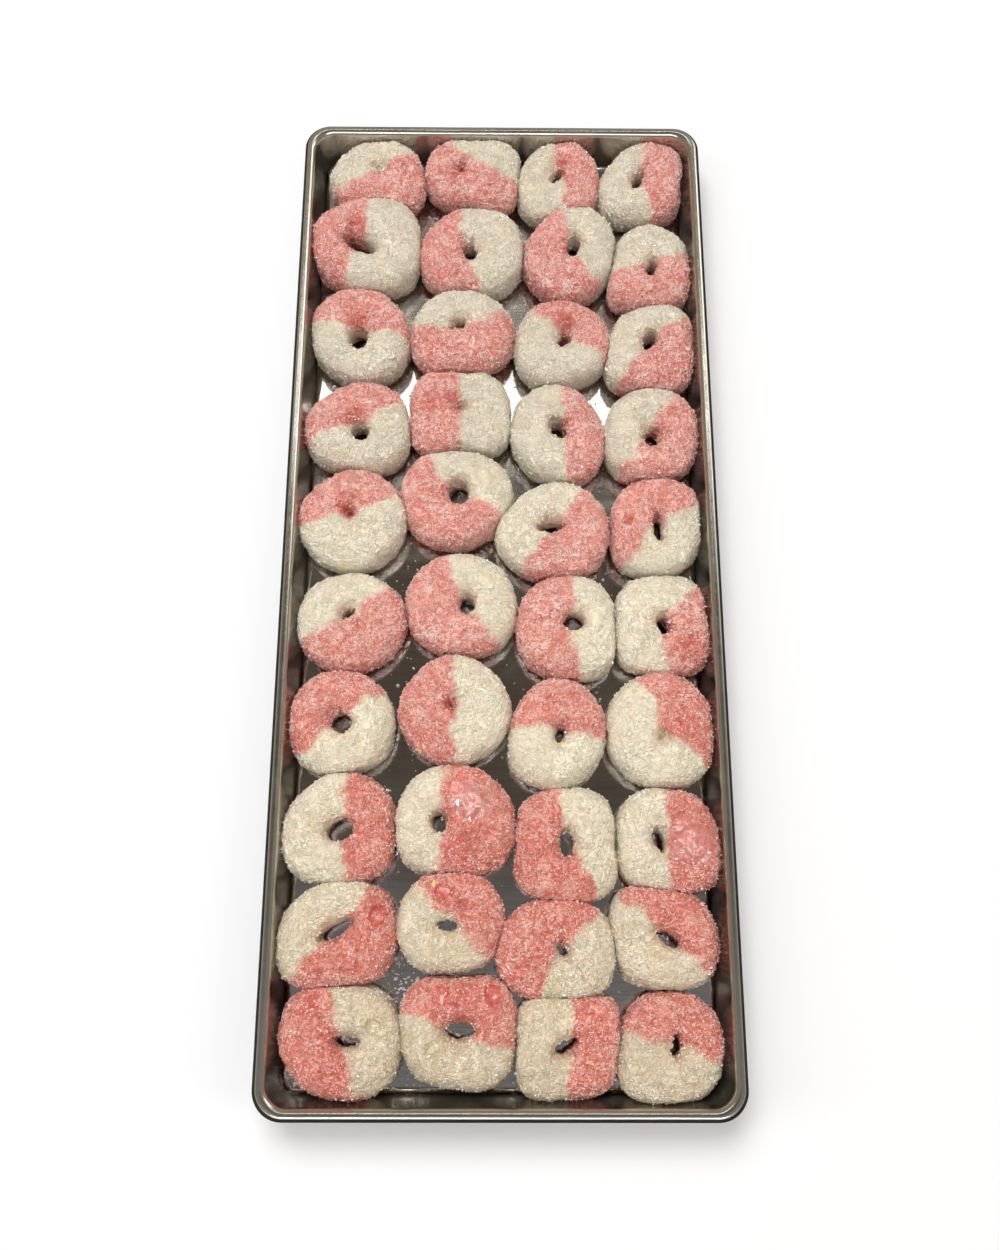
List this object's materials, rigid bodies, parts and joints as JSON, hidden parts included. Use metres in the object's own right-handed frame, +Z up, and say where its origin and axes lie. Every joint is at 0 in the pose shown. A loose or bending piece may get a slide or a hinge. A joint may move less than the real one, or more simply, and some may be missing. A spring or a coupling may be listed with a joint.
{
  "type": "tray of freeze-dried gummy rings",
  "caption": "Long shallow steel tray with a rolled rim and rounded corners, filled in one layer with puffed, sugar-crusted gummy rings that are part pink and part cream.",
  "frame": {"origin": "middle of the tray's flat underside, on the surface that it stands on", "axes": "+Z up; +Y along the tray towards its far end, where row 1 lies; +X across the tray to the right"},
  "size_m": [0.192, 0.452, 0.0222],
  "materials": {
    "tray_steel": "satin",
    "sugared_gummy": "matte"
  },
  "bodies": {
    "root": {"tray": "tray_steel", "ring_1_1": "sugared_gummy", "ring_1_2": "sugared_gummy", "ring_1_3": "sugared_gummy", "ring_1_4": "sugared_gummy", "ring_2_1": "sugared_gummy", "ring_2_2": "sugared_gummy", "ring_2_3": "sugared_gummy", "ring_2_4": "sugared_gummy", "ring_3_1": "sugared_gummy", "ring_3_2": "sugared_gummy", "ring_3_3": "sugared_gummy", "ring_3_4": "sugared_gummy", "ring_4_1": "sugared_gummy", "ring_4_2": "sugared_gummy", "ring_4_3": "sugared_gummy", "ring_4_4": "sugared_gummy", "ring_5_1": "sugared_gummy", "ring_5_2": "sugared_gummy", "ring_5_3": "sugared_gummy", "ring_5_4": "sugared_gummy", "ring_6_1": "sugared_gummy", "ring_6_2": "sugared_gummy", "ring_6_3": "sugared_gummy", "ring_6_4": "sugared_gummy", "ring_7_1": "sugared_gummy", "ring_7_2": "sugared_gummy", "ring_7_3": "sugared_gummy", "ring_7_4": "sugared_gummy", "ring_8_1": "sugared_gummy", "ring_8_2": "sugared_gummy", "ring_8_3": "sugared_gummy", "ring_8_4": "sugared_gummy", "ring_9_1": "sugared_gummy", "ring_9_2": "sugared_gummy", "ring_9_3": "sugared_gummy", "ring_9_4": "sugared_gummy", "ring_10_1": "sugared_gummy", "ring_10_2": "sugared_gummy", "ring_10_3": "sugared_gummy", "ring_10_4": "sugared_gummy"}
  },
  "joints": []
}
